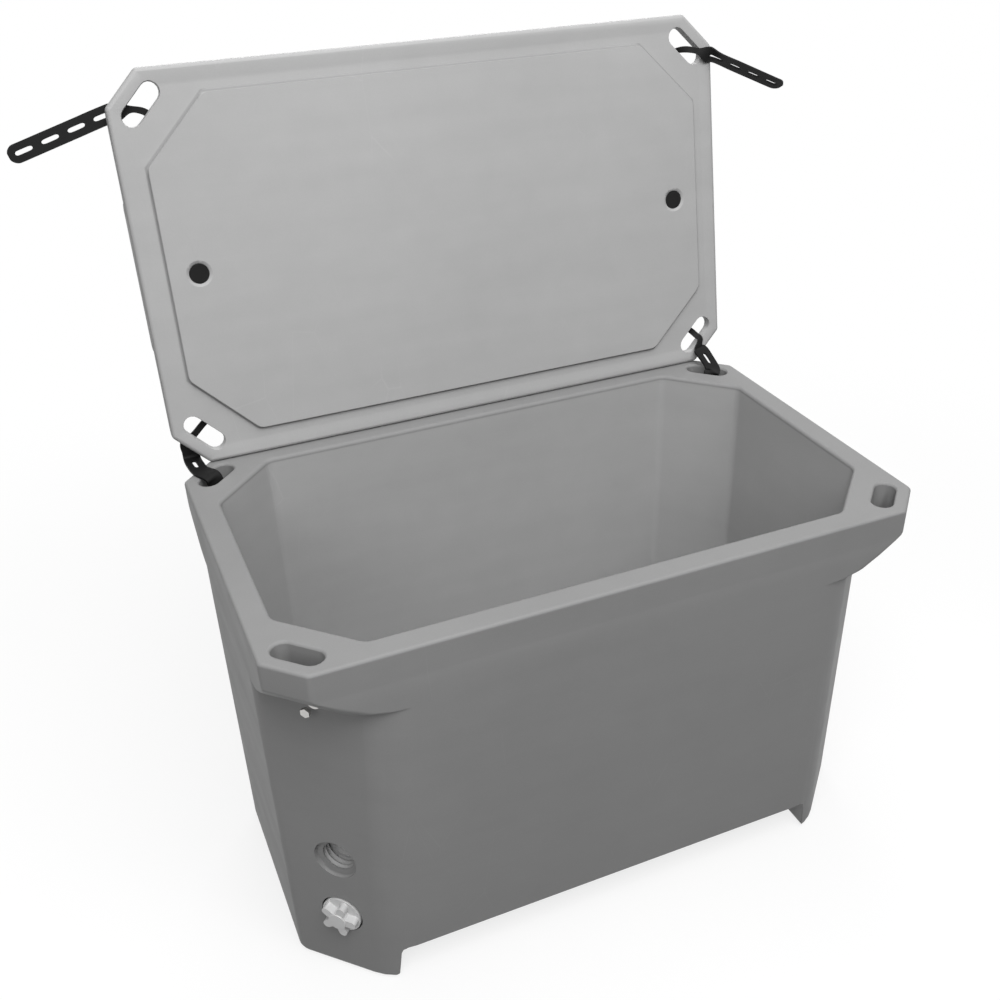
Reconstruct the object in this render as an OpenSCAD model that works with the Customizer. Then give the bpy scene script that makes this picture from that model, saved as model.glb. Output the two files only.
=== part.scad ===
// Insulated fish transport box: a double-walled tub on two runners, a foam-filled lid
// held by four rubber straps, and a drain bung.
// The origin is on the ground under the middle of the tub. X runs along the box, the front is -Y.

/* [Tub] */
// Length over the rim
tub_l = 1000; // [900:10:1300]
// Width over the rim
tub_w = 596; // [540:4:760]
// Height from the ground to the rim
tub_h = 635; // [520:5:760]
// Leg of the corner cut at the rim
ear_cut = 51; // [40:1:70]
// Leg of the corner cut of the body below the ears, measured up at the rim
body_cut = 145; // [135:1:165]
// Height of the rim band at the ears
band_h = 44; // [30:1:60]
// Height over which an ear slopes back to the body
ear_slope_h = 20; // [17:1:50]
// Width of the flat rim round the mouth
rim_w = 39; // [36:1:48]
// Leg of the corner cut of the mouth
mouth_cut = 98; // [90:1:112]
// Lean of the end walls, in mm for each 100 mm of depth
end_draft = 1.5; // [0.5:0.1:3]
// Lean of the long walls, in mm for each 100 mm of depth
side_draft = 3.2; // [1:0.1:4]
// Thickness of the moulded skins
skin = 6; // [4:0.5:7]
// Thickness of the floor between its two faces
floor_t = 35; // [28:1:50]

/* [Runners] */
// Height of the runners
foot_h = 66; // [50:1:100]
// Clear width between the runners at the ground
fork_w = 732; // [600:4:760]

/* [Ears] */
// Distance of an ear slot's centre inside the corner cut
ear_slot_in = 36; // [33:0.5:38]
// Length of an ear slot
ear_slot_l = 74; // [66:1:80]
// Width of an ear slot
ear_slot_w = 32; // [28:1:34]
// Height of the strap bolts below the rim
bolt_drop = 106; // [104:1:120]

/* [Drain] */
// Height of the lower drain's centre above the ground
drain_z = 119; // [119:1:130]
// Height of the upper drain's centre above the ground
upper_drain_z = 233; // [215:1:300]
// Outer diameter of the drain thread
thread_d = 54; // [50:1:56]
// Pitch of the drain thread
thread_pitch = 8; // [6:0.5:9]
// Depth of the threaded run in the wall
thread_run = 22; // [20:1:23]
// Diameter of the seat that takes the gasket
seat_d = 68; // [66:1:72]
// Diameter of the bore that reaches the inside
drain_bore_d = 42; // [32:1:43]
// Diameter of the bung's flange
bung_flange_d = 62.5; // [58:0.5:64]
// Height of the bung's star handle above its flange
star_h = 15; // [10:0.5:20]

/* [Lid] */
// Thickness of the lid over its block
lid_t = 49; // [44:1:60]
// Thickness of the lid's ears
lid_ear_t = 20; // [16:0.5:24]
// Leg of the corner cut of the lid's block
block_cut = 180; // [176:1:190]
// Depth of the part that fits into the mouth
plug_depth = 14; // [13:1:22]
// Distance of a lid slot's centre inside the corner cut
lid_slot_in = 34.5; // [33:0.5:36]
// Length of a lid slot
lid_slot_l = 73; // [66:1:76]
// Width of a lid slot
lid_slot_w = 28.5; // [26:0.5:30]
// Distance of each foam port from the end of the lid
port_in = 87; // [84:1:150]
// Angle between the shut lid and the lid as it stands open
open_angle = 100.6; // [95:0.1:110]

/* [Straps] */
// Width of a strap's blade
strap_w = 27; // [22:0.5:28]
// Thickness of a strap
strap_t = 4; // [3:0.2:4.4]
// Width of a strap's neck
neck_w = 10; // [8:0.5:12]
// Length of the slots in a strap
hole_l = 26; // [20:1:28]
// Width of the slots in a strap
hole_w = 7.5; // [5:0.5:8]

/* [Fasteners] */
// Diameter of the bolts
bolt_d = 8; // [6:0.5:8]
// Width across the flats of a bolt's head
head_af = 13; // [11:0.5:14]
// Diameter of the washers
washer_d = 20; // [16:0.5:22]

/* [Hidden] */
// Running gap between the shut lid and the rim, and between the lid's plug and the mouth
lid_gap = 0.5;
plug_gap = 1.5;
// Gap between the foam and the skins round it
foam_gap = 0.3;
// Gap between a fastener or strap and what it lies against
seat_gap = 0.3;
// Radial play of the bung's thread
thread_gap = 0.8;
// Roundings of the shells
rim_round = 5;
mouth_round = 6;
foot_round = 9;
floor_round = 30;
ear_corner_r = 10;
end_corner_r = 25;
long_corner_r = 85;
block_corner_r = 32;
mouth_corner_r = 22;
lid_seat_round = 6;
lid_top_round = 12;
slot_round = 4;
band_round = 4;
// Rise of the flat landing between an ear of the lid and its block
landing_rise = 1;
// Depth of the shallow valley in the lid's seat
valley = 2;
// Depth of the thread's profile
thread_depth = 3.5;
// Bung: flange, gasket and recess
seat_depth = 8;
gasket_t = 3.5;
gasket_d = seat_d - 2;
// Shift of the drains and of the strap bolts along the corner cut, towards the end wall
drain_along = 6;
bolt_along = 6;
flange_t = 6;
lobes = 5;
lobe_r = 6.5;
hub_r = 14;
// Heads, washers and inserts of the bolts
head_h = 5.5;
washer_t = 2;
insert_d = 14;
insert_l = 16;
insert_play = 0.05;
shank_end_gap = 1;
// Foam port plugs
port_head_d = 30;
port_stem_d = 25;
port_sink_d = 40;
port_sink = 2;
port_head_t = 2;
port_stem_l = 2.4;
base_port_x = 250;
port_x = tub_l / 2 - port_in;
// Rubber straps: the round end of each slot and the eye at the lid's bolt
hole_round_d = bolt_d + 1.4;
eye_d = 25;

// Half length, half width and corner distance of an octagon from its length, width and corner cut
function octagon(l, w, cut) = [l / 2, w / 2, (l / 2 + w / 2 - cut) / sqrt(2)];
// The same octagon with each side moved in by e
function inset(o, e) = [o[0] - e, o[1] - e, o[2] - e];
// Distance from the middle to side k, the sides counted round from +X in steps of 45 degrees
function side_at(o, k) = k % 2 == 1 ? o[2] : (k % 4 == 0 ? o[0] : o[1]);
// Corner between side k and the next, of the octagon moved in by r
function corner_at(o, r, k) =
    let (c = cos(45), p = side_at(o, k) - r, q = side_at(o, (k + 1) % 8) - r,
         n = [cos(45 * k), sin(45 * k)], m = [cos(45 * (k + 1)), sin(45 * (k + 1))])
    ((p - q * c) * n + (q - p * c) * m) / (1 - c * c);
// Ring of an octagon at height z, with corners rounded to radius r. Two radii in r are those beside
// the end walls and those beside the long walls.
arc_steps = 4;
function ring(o, r, z) = [
    for (k = [0:7], j = [0:arc_steps])
        let (q = is_list(r) ? r[k % 4 == 0 || k % 4 == 3 ? 0 : 1] : r,
             a = 45 * (k + j / arc_steps), c = corner_at(o, q, k))
        [c[0] + q * cos(a), c[1] + q * sin(a), z]
];
// Closed skin through a stack of rings, from the lowest to the highest
module loft(rings) {
    n = len(rings[0]);
    m = len(rings);
    polyhedron(
        points = [for (r = rings) each r],
        faces = concat(
            [[for (i = [0:n - 1]) i]],
            [[for (i = [n - 1:-1:0]) (m - 1) * n + i]],
            [for (k = [0:m - 2], i = [0:n - 1]) let (j = (i + 1) % n)
                [k * n + i, (k + 1) * n + i, (k + 1) * n + j]],
            [for (k = [0:m - 2], i = [0:n - 1]) let (j = (i + 1) % n)
                [k * n + i, (k + 1) * n + j, k * n + j]]),
        convexity = 8);
}

// Octagons of the tub at height z
function lean_l(z) = end_draft / 100 * (tub_h - z);
function lean_w(z) = side_draft / 100 * (tub_h - z);
body_reach = (tub_l / 2 + tub_w / 2 - body_cut) / sqrt(2);
ear_reach = (tub_l / 2 + tub_w / 2 - ear_cut) / sqrt(2);
function body_at(z) = [tub_l / 2 - lean_l(z), tub_w / 2 - lean_w(z), body_reach];
function ear_at(z) = [tub_l / 2 - lean_l(z), tub_w / 2 - lean_w(z), ear_reach];
function mouth_at(z) = octagon(
    tub_l - 2 * rim_w - 2 * lean_l(z), tub_w - 2 * rim_w - 2 * lean_w(z), mouth_cut);
ear_foot_z = tub_h - band_h - ear_slope_h;
// Corner radii of the body and of the ears
body_r = [end_corner_r, long_corner_r];
ear_r = [ear_corner_r, ear_corner_r];
// Hollow underside of an ear: shares of its reach and of its height
ear_cove = [[0.05, 0.25], [0.16, 0.45], [0.38, 0.6], [0.66, 0.71]];
floor_z = foot_h + floor_t;

// A point of a corner: x and y signs, distance from the middle along the corner's own axis,
// shift along the corner cut, and height
half_shift = (tub_l - tub_w) / 4;
function corner_point(sx, sy, reach, along, z) =
    [sx * (reach / sqrt(2) + half_shift + along / sqrt(2)),
     sy * (reach / sqrt(2) - half_shift - along / sqrt(2)), z];
// Children with their Z axis out of the corner, as bolts and drains have it
module out_of_corner(sx, sy, reach, z, along = 0) {
    translate(corner_point(sx, sy, reach, along, z))
        rotate([0, 0, atan2(sy, sx)])
            rotate([0, 90, 0])
                children();
}

// Obround ring for slots, its length along X
function obround(l, w, z) = [
    for (s = [1, -1], j = [-4:4])
        let (a = 22.5 * j + (s < 0 ? 180 : 0))
        [s * (l - w) / 2 + w / 2 * cos(a), w / 2 * sin(a), z]
];
// Cutter of an upright slot from height a to height b, with rounded mouths
module slot_cutter(l, w, a, b, r) {
    flare = [for (q = [0, 45, 90]) [r * (1 - sin(q)), r * (1 - cos(q))]];
    loft(concat(
        [obround(l + 2 * r, w + 2 * r, a - 1)],
        [for (f = flare) obround(l + 2 * f[0], w + 2 * f[0], a + f[1])],
        [for (k = [2:-1:0]) obround(l + 2 * flare[k][0], w + 2 * flare[k][0], b - flare[k][1])],
        [obround(l + 2 * r, w + 2 * r, b + 1)]));
}
module corner_slots(inside, l, w, a, b) {
    for (sx = [-1, 1], sy = [-1, 1])
        translate(corner_point(sx, sy, ear_reach - inside, 0, 0))
            rotate([0, 0, atan2(sy, sx) + 90])
                slot_cutter(l, w, a, b, slot_round);
}

// Thread surface: a rod with a helical ridge, its axis along Z, from z = 0 up
thread_sides = 24;
function ridge(j, root) =
    let (q = j % 4) [(floor(j / 4) + [0, 0.2, 0.5, 0.7][q]) * thread_pitch, root + (q < 2 ? 0 : thread_depth)];
module thread_rod(play, turns) {
    rows = 4 * turns;
    root = thread_d / 2 - thread_depth + play;
    n = thread_sides;
    function place(i, j) =
        let (f = ridge(j, root), a = 360 * i / n)
        [f[1] * cos(a), f[1] * sin(a), f[0] + thread_pitch * i / n];
    function id(i, j) = i == 0 ? j : (i == n ? j + 4 : rows + 5 + (i - 1) * (rows + 1) + j);
    low = rows + 5 + (n - 1) * (rows + 1);
    polyhedron(
        points = concat(
            [for (j = [0:rows + 4]) place(0, j)],
            [for (i = [1:n - 1], j = [0:rows]) place(i, j)],
            [[0, 0, thread_pitch / 2], [0, 0, (turns + 0.5) * thread_pitch]]),
        faces = concat(
            [for (i = [0:n - 1], j = [0:rows - 1]) [id(i, j), id(i, j + 1), id(i + 1, j + 1)]],
            [for (i = [0:n - 1], j = [0:rows - 1]) [id(i, j), id(i + 1, j + 1), id(i + 1, j)]],
            [for (i = [0:n - 1]) [low, id(i, 0), id(i + 1, 0)]],
            [for (j = [4:-1:1]) [low, id(0, j), id(0, j - 1)]],
            [for (i = [0:n - 1]) [low + 1, id(i + 1, rows), id(i, rows)]],
            [for (j = [4:-1:1]) [low + 1, id(0, rows + j - 1), id(0, rows + j)]]),
        convexity = 10);
}
thread_turns = ceil(thread_run / thread_pitch) + 2;
thread_z = -(seat_depth + thread_run) - 1.25 * thread_pitch;

// Tub
module tub_outside() {
    band_z = tub_h - band_h;
    spread = ear_reach - body_reach;
    loft(concat([
        ring(inset(body_at(0), foot_round), body_r - [foot_round, foot_round], 0),
        ring(inset(body_at(0), foot_round * (1 - sin(45))), body_r, foot_round * (1 - cos(45))),
        ring(body_at(foot_round), body_r, foot_round),
        ring(body_at(ear_foot_z), body_r, ear_foot_z)],
        [for (q = ear_cove) let (z = ear_foot_z + ear_slope_h * q[1])
            ring(body_at(z) + [0, 0, spread * q[0]], body_r * (1 - q[0]) + ear_r * q[0], z)], [
        ring(ear_at(band_z) - [0, 0, band_round * 1.6], ear_corner_r, band_z - band_round),
        ring(ear_at(band_z) - [0, 0, band_round * 0.3], ear_corner_r, band_z),
        ring(ear_at(band_z + band_round), ear_corner_r, band_z + band_round),
        ring(ear_at(tub_h - rim_round), ear_corner_r, tub_h - rim_round),
        ring(inset(ear_at(tub_h), rim_round * 0.13), ear_corner_r, tub_h - rim_round * 0.5),
        ring(inset(ear_at(tub_h), rim_round * 0.5), ear_corner_r, tub_h - rim_round * 0.13),
        ring(inset(ear_at(tub_h), rim_round), ear_corner_r - rim_round, tub_h)]
    ));
}
// Inside of the tub, its walls moved out by e and its floor down by e
module cavity(e) {
    r = floor_round;
    flare = e > 0 ? 0 : mouth_round;
    loft(concat([
        ring(inset(mouth_at(floor_z), r - e), mouth_corner_r, floor_z - e),
        ring(inset(mouth_at(floor_z), r * 0.5 - e), mouth_corner_r, floor_z - e + r * 0.13),
        ring(inset(mouth_at(floor_z), r * 0.13 - e), mouth_corner_r, floor_z - e + r * 0.5),
        ring(inset(mouth_at(floor_z + r), -e), mouth_corner_r, floor_z - e + r)],
        flare == 0 ? [] : [
            ring(mouth_at(tub_h - flare), mouth_corner_r, tub_h - flare),
            ring(inset(mouth_at(tub_h), -flare * 0.13), mouth_corner_r, tub_h - flare * 0.5),
            ring(inset(mouth_at(tub_h), -flare * 0.5), mouth_corner_r, tub_h - flare * 0.13)],
        [ring(inset(mouth_at(tub_h), -max(e, flare)), mouth_corner_r, tub_h),
         ring(inset(mouth_at(tub_h), -max(e, flare)), mouth_corner_r, tub_h + 2)]));
}
// Room between the runners, its faces moved out by e
module fork_room(e) {
    lean = 5;
    half = fork_w / 2 + e;
    top = foot_h + e;
    bend = 10;
    translate([0, tub_w, 0])
        rotate([90, 0, 0])
            linear_extrude(2 * tub_w)
                polygon([
                    [-half - bend, -1], [half + bend, -1],
                    [half + bend, 0], [half + bend * 0.3, bend * 0.3], [half, bend],
                    [half - lean, top - bend], [half - lean - bend * 0.3, top - bend * 0.3],
                    [half - lean - bend, top], [-half + lean + bend, top],
                    [-half + lean + bend * 0.3, top - bend * 0.3], [-half + lean, top - bend],
                    [-half, bend], [-half - bend * 0.3, bend * 0.3], [-half - bend, 0]]);
}
// Solid round the drains, the bolt inserts and the foam ports, grown by e
module tub_bosses(e) {
    for (z = [drain_z, upper_drain_z])
        out_of_corner(-1, -1, body_reach, z, drain_along)
            translate([0, 0, -80])
                cylinder(d = seat_d + 2 * skin + 2 * e, h = 100, $fn = 48);
    for (sx = [-1, 1], sy = [-1, 1])
        out_of_corner(sx, sy, body_reach, bolt_z, bolt_along)
            translate([0, 0, -60])
                cylinder(d = insert_d + skin + 2 * e, h = 80, $fn = 32);
}
// Space between the skins, drawn in by e
module wall_core(e) {
    difference() {
        loft([
            ring(inset(body_at(e), e + foot_round * 0.6), body_r - [e, e], e),
            ring(inset(body_at(e + foot_round), e), body_r - [e, e], e + foot_round),
            ring(inset(body_at(tub_h - e), e), body_r - [e, e], tub_h - e)
        ]);
        cavity(e);
        fork_room(e);
        tub_bosses(e - skin);
    }
}
module drain_hole(z) {
    out_of_corner(-1, -1, body_reach, z, drain_along) {
        translate([0, 0, -seat_depth])
            cylinder(d = seat_d, h = seat_depth + 30, $fn = 64);
        translate([0, 0, -90])
            cylinder(d = drain_bore_d, h = 90, $fn = 64);
        intersection() {
            translate([0, 0, thread_z])
                thread_rod(thread_gap, thread_turns);
            translate([0, 0, -seat_depth - thread_run])
                cylinder(d = seat_d, h = thread_run + 1, $fn = 64);
        }
    }
}
module base_ports() {
    for (sx = [-1, 1])
        translate([sx * base_port_x, 0, foot_h])
            children();
}
module tub_shell() {
    color([0.47, 0.47, 0.47])
        difference() {
            tub_outside();
            cavity(0);
            fork_room(0);
            wall_core(skin);
            corner_slots(ear_slot_in, ear_slot_l, ear_slot_w, ear_slot_low, tub_h);
            drain_hole(drain_z);
            drain_hole(upper_drain_z);
            for (sx = [-1, 1], sy = [-1, 1])
                out_of_corner(sx, sy, body_reach, bolt_z, bolt_along)
                    insert_hole(insert_l);
            base_ports()
                port_hole();
        }
}
// Lower end of an ear slot's cutter, well under the ear's slope
ear_slot_low = tub_h - band_h - ear_slope_h - 12;
module tub_foam() {
    color([0.93, 0.90, 0.80])
        wall_core(skin + foam_gap);
}

// Foam port: a sunk hole seen from below, and the black plug that shuts it
module port_hole() {
    translate([0, 0, -1])
        cylinder(d = port_sink_d, h = 1.01, $fn = 48);
    cylinder(d1 = port_sink_d, d2 = port_head_d + 1, h = port_sink, $fn = 48);
    cylinder(d = port_head_d + 1, h = port_sink + port_head_t, $fn = 48);
    cylinder(d = port_stem_d, h = skin + 1, $fn = 48);
}
module port_plug() {
    color([0.06, 0.06, 0.06])
        translate([0, 0, port_sink + port_head_t]) {
            translate([0, 0, -port_head_t - 0.5])
                cylinder(d = port_head_d, h = port_head_t + 0.5 - seat_gap, $fn = 48);
            translate([0, 0, -1])
                cylinder(d = port_stem_d - 2 * seat_gap, h = port_stem_l, $fn = 48);
        }
}

// Bolts: the washer lies on the wall, the head stands off so that a strap fits under it
bolt_z = tub_h - bolt_drop;
strap_reach = body_reach + 16.5;
head_reach = strap_reach + strap_t / 2 + seat_gap;
module hex_bolt(stand_off, bury) {
    color([0.78, 0.78, 0.78]) {
        translate([0, 0, stand_off])
            cylinder(d = head_af / cos(30), h = head_h, $fn = 6);
        translate([0, 0, -bury])
            cylinder(d = bolt_d, h = stand_off + bury + 0.5, $fn = 32);
    }
}
module washer() {
    color([0.72, 0.72, 0.72])
        difference() {
            cylinder(d = washer_d, h = washer_t, $fn = 40);
            translate([0, 0, -1])
                cylinder(d = bolt_d + 2 * seat_gap, h = washer_t + 2, $fn = 32);
        }
}
// Threaded insert of length l, its open end seat_gap under the wall's face, and the hole it is moulded in
module insert(l) {
    color([0.72, 0.60, 0.30])
        translate([0, 0, -l - seat_gap])
            difference() {
                cylinder(d = insert_d, h = l, $fn = 32);
                translate([0, 0, -1])
                    cylinder(d = bolt_d + seat_gap, h = l + 2, $fn = 32);
            }
}
module insert_hole(l) {
    translate([0, 0, -l - seat_gap - insert_play])
        cylinder(d = insert_d + 2 * insert_play, h = l + 20, $fn = 32);
}
module tub_bolt(sx, sy) {
    out_of_corner(sx, sy, body_reach, bolt_z, bolt_along)
        hex_bolt(head_reach - body_reach, insert_l - shank_end_gap);
}
module tub_bolt_front_left() { tub_bolt(-1, -1); }
module tub_bolt_front_right() { tub_bolt(1, -1); }
module tub_bolt_rear_left() { tub_bolt(-1, 1); }
module tub_bolt_rear_right() { tub_bolt(1, 1); }
module tub_washers() {
    for (sx = [-1, 1], sy = [-1, 1])
        out_of_corner(sx, sy, body_reach + seat_gap, bolt_z, bolt_along)
            washer();
}
module tub_inserts() {
    for (sx = [-1, 1], sy = [-1, 1])
        out_of_corner(sx, sy, body_reach, bolt_z, bolt_along)
            insert(insert_l);
}
module tub_plug_left() {
    translate([-base_port_x, 0, foot_h])
        port_plug();
}
module tub_plug_right() {
    translate([base_port_x, 0, foot_h])
        port_plug();
}

// Drain bung, its axis out of the front left corner
module bung_gasket() {
    color([0.06, 0.06, 0.06])
        out_of_corner(-1, -1, body_reach, drain_z, drain_along)
            translate([0, 0, -seat_depth + seat_gap])
                difference() {
                    cylinder(d = gasket_d, h = gasket_t, $fn = 64);
                    translate([0, 0, -1])
                        cylinder(d = thread_d + 1, h = gasket_t + 2, $fn = 64);
                }
}
flange_z = -seat_depth + seat_gap + gasket_t + seat_gap;
module drain_bung() {
    color([0.80, 0.80, 0.80])
        out_of_corner(-1, -1, body_reach, drain_z, drain_along) {
            intersection() {
                translate([0, 0, thread_z])
                    thread_rod(0, thread_turns);
                translate([0, 0, -seat_depth - thread_run + 3])
                    cylinder(d = seat_d, h = thread_run + flange_z + seat_depth - 2, $fn = 64);
            }
            translate([0, 0, flange_z])
                cylinder(d = bung_flange_d, h = flange_t, $fn = 64);
            translate([0, 0, flange_z + flange_t - 1])
                star_handle();
        }
}
module star_handle() {
    reach = bung_flange_d / 2 - lobe_r - 2;
    cylinder(r = hub_r, h = star_h + 1, $fn = 48);
    for (k = [0:lobes - 1])
        rotate([0, 0, 360 * k / lobes + 90]) {
            translate([reach, 0, 0])
                cylinder(r = lobe_r, h = star_h - 1, $fn = 32);
            translate([0, -lobe_r, 0])
                cube([reach, 2 * lobe_r, star_h - 1]);
        }
}

// Lid, drawn shut; stand_open turns it about the middle of its back edge's rounding
seat_z = tub_h + lid_gap;
hinge_y = tub_w / 2 - lid_seat_round;
hinge_z = seat_z + lid_seat_round;
module stand_open() {
    translate([0, hinge_y, hinge_z])
        rotate([-open_angle, 0, 0])
            translate([0, -hinge_y, -hinge_z])
                children();
}
// Where a point of the shut lid lies when the lid stands open
function opened(p) =
    let (y = p[1] - hinge_y, z = p[2] - hinge_z, c = cos(open_angle), s = sin(open_angle))
    [p[0], hinge_y + y * c + z * s, hinge_z - y * s + z * c];
rim = octagon(tub_l, tub_w, ear_cut);
block = octagon(tub_l, tub_w, block_cut);
plug = inset(octagon(tub_l - 2 * rim_w, tub_w - 2 * rim_w, mouth_cut), plug_gap);
function long_sides(o, reach) = [o[0], o[1], reach];
module lid_outside() {
    r = lid_seat_round;
    t = lid_top_round;
    top = seat_z + lid_t;
    ledge = seat_z + lid_ear_t;
    loft([
        ring(inset(plug, 11), mouth_corner_r - 11, seat_z - plug_depth),
        ring(inset(plug, 8), mouth_corner_r - 8, seat_z - plug_depth + 0.8),
        ring(inset(plug, 5.5), mouth_corner_r - 5, seat_z - plug_depth + 3.5),
        ring(inset(plug, 0.5), mouth_corner_r, seat_z - 1),
        ring(inset(plug, -2.5), mouth_corner_r, seat_z + valley),
        ring(inset(rim, 27), mouth_corner_r, seat_z + valley),
        ring(inset(rim, 13), ear_corner_r, seat_z + 0.3),
        ring(inset(rim, r), ear_corner_r - r, seat_z),
        ring(inset(rim, r * 0.3), ear_corner_r - 2, seat_z + r * 0.3),
        ring(rim, ear_corner_r, seat_z + r),
        ring(rim, ear_corner_r, ledge - 5),
        ring(long_sides(rim, rim[2] - 1.5), ear_corner_r, ledge - 1.5),
        ring(long_sides(rim, rim[2] - 5), ear_corner_r, ledge),
        ring(long_sides(rim, block[2] + 3), block_corner_r, ledge + landing_rise),
        ring(block, block_corner_r, ledge + landing_rise + 3),
        ring(block, block_corner_r, top - t),
        ring(inset(block, t * 0.3), block_corner_r - t * 0.3, top - t * 0.3),
        ring(inset(block, t), block_corner_r - t, top)
    ]);
}
// Space for the foam in the lid, drawn in by e
module lid_core(e) {
    out = inset(block, e);
    loft([
        ring(inset(plug, e + 9), mouth_corner_r - 10, seat_z - plug_depth + e),
        ring(inset(plug, e + 4), mouth_corner_r - 8, seat_z - plug_depth + e + 5),
        ring(inset(plug, e + 3), mouth_corner_r - 6, seat_z + valley + e),
        ring(long_sides(out, plug[2] - e), mouth_corner_r, seat_z + valley + e + 3),
        ring(long_sides(out, min(out[2], plug[2] - e)), mouth_corner_r, seat_z + lid_t - lid_top_round),
        ring(long_sides(inset(out, lid_top_round * 0.7), min(out[2], plug[2] - e) - lid_top_round * 0.7),
            mouth_corner_r - 8, seat_z + lid_t - e)
    ]);
}
// Anchors of the straps on the lid, on the landing between each slot and the block
anchor_reach = block[2] + 21;
landing_z = seat_z + lid_ear_t + landing_rise;
module at_anchors() {
    for (sx = [-1, 1], sy = [-1, 1])
        translate(corner_point(sx, sy, anchor_reach, 0, landing_z))
            children();
}
lid_insert_l = lid_ear_t + landing_rise - 5;
module lid_shell() {
    color([0.66, 0.66, 0.66])
        stand_open()
            difference() {
                lid_outside();
                lid_core(skin);
                corner_slots(lid_slot_in, lid_slot_l, lid_slot_w, seat_z, seat_z + lid_ear_t);
                at_anchors()
                    insert_hole(lid_insert_l);
                for (sx = [-1, 1])
                    translate([sx * port_x, 0, seat_z - plug_depth])
                        port_hole();
            }
}
module lid_foam() {
    color([0.93, 0.90, 0.80])
        stand_open()
            lid_core(skin + foam_gap);
}
module lid_plug(sx) {
    stand_open()
        translate([sx * port_x, 0, seat_z - plug_depth])
            port_plug();
}
module lid_plug_left() { lid_plug(-1); }
module lid_plug_right() { lid_plug(1); }
module lid_inserts() {
    stand_open()
        at_anchors()
            insert(lid_insert_l);
}
strap_lift = seat_gap + strap_t / 2;
module lid_washers() {
    stand_open()
        at_anchors()
            translate([0, 0, 2 * strap_lift])
                washer();
}
module lid_bolt(sx, sy) {
    stand_open()
        translate(corner_point(sx, sy, anchor_reach, 0, landing_z))
            hex_bolt(2 * strap_lift + washer_t + seat_gap, lid_insert_l - shank_end_gap);
}
module lid_bolt_front_left() { lid_bolt(-1, -1); }
module lid_bolt_front_right() { lid_bolt(1, -1); }
module lid_bolt_rear_left() { lid_bolt(-1, 1); }
module lid_bolt_rear_right() { lid_bolt(1, 1); }

// Rubber straps. A stop is [place, face direction, width, slot here]; a strap runs smoothly
// through its stops, starting from the eye under the lid's bolt.
function unit(v) = v / norm(v);
function glide(a, b, c, d, u) =
    0.5 * (2 * b + (c - a) * u + (2 * a - 5 * b + 4 * c - d) * u * u + (3 * b - a - 3 * c + d) * u * u * u);
function stop_at(s, k, f) = s[max(0, min(len(s) - 1, k))][f];
function along_stops(s, k, u, f) =
    glide(stop_at(s, k - 1, f), stop_at(s, k, f), stop_at(s, k + 1, f), stop_at(s, k + 2, f), u);
// Places, face directions and widths at even steps between the stops
function walk(s, steps) = [
    for (k = [0:len(s) - 2], j = [0:steps - 1])
        let (u = j / steps)
        [along_stops(s, k, u, 0), along_stops(s, k, u, 1), along_stops(s, k, u, 2)]
];
function heading(w, i) = unit(w[min(i + 1, len(w) - 1)][0] - w[max(i - 1, 0)][0]);
edge = 0.8;
function strap_ring(p, t, face, width) =
    let (side = unit(cross(face, t)), up = unit(cross(t, side)), a = width / 2, b = strap_t / 2)
    [for (q = [[-a + edge, -b], [a - edge, -b], [a, -b + edge], [a, b - edge],
               [a - edge, b], [-a + edge, b], [-a, b - edge], [-a, -b + edge]])
        p + q[0] * side + q[1] * up];
// Half round end beyond the last stop
function tip_rings(p, t, face, width) = [
    for (q = [0, 25, 50, 70])
        strap_ring(p + t * width / 2 * sin(q), t, face, width * cos(q))
];
module strap(stops) {
    w = walk(stops, 3);
    last = stops[len(stops) - 1];
    end = heading(w, len(w) - 1);
    color([0.07, 0.07, 0.07])
        difference() {
            union() {
                loft(concat(
                    [for (i = [0:len(w) - 1]) strap_ring(w[i][0], heading(w, i), w[i][1], w[i][2])],
                    tip_rings(last[0], end, last[1], last[2])));
                on_strap(stops[0][0], heading(w, 0), stops[0][1])
                    cylinder(d = eye_d, h = strap_t, center = true, $fn = 40);
            }
            on_strap(stops[0][0], heading(w, 0), stops[0][1])
                cylinder(d = bolt_d + 2 * seat_gap, h = 4 * strap_t, center = true, $fn = 32);
            for (k = [0:len(stops) - 1])
                if (stops[k][3] == 1)
                    on_strap(stops[k][0], heading(w, min(3 * k, len(w) - 1)), stops[k][1])
                        blade_slot();
        }
}
// Children with Y along the strap and Z out of its face
module on_strap(p, t, face) {
    side = unit(cross(t, face));
    up = unit(cross(side, t));
    multmatrix([
        [side[0], t[0], up[0], p[0]],
        [side[1], t[1], up[1], p[1]],
        [side[2], t[2], up[2], p[2]],
        [0, 0, 0, 1]])
        children();
}
module blade_slot() {
    run = (hole_l - hole_w) / 2;
    for (s = [-1, 1])
        translate([0, s * run, 0])
            cylinder(d = s > 0 ? hole_round_d : hole_w, h = 4 * strap_t, center = true, $fn = 24);
    cube([hole_w, 2 * run, 4 * strap_t], center = true);
}
// A place beside a lid corner, standing open: out along the corner's axis, along the corner cut
// towards the end of the lid, and above the landing
function lid_place(sx, sy, out, along, up) =
    opened(corner_point(sx, sy, anchor_reach + out, along, landing_z + up));
lid_face = opened([0, 0, 1]) - opened([0, 0, 0]);
function front_stop(sx, out, along, up, width, slot) =
    [lid_place(sx, -1, out, along, up), lid_face, width, slot];
slot_mid = ear_reach - lid_slot_in - anchor_reach;
under = -lid_ear_t - landing_rise;
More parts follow.
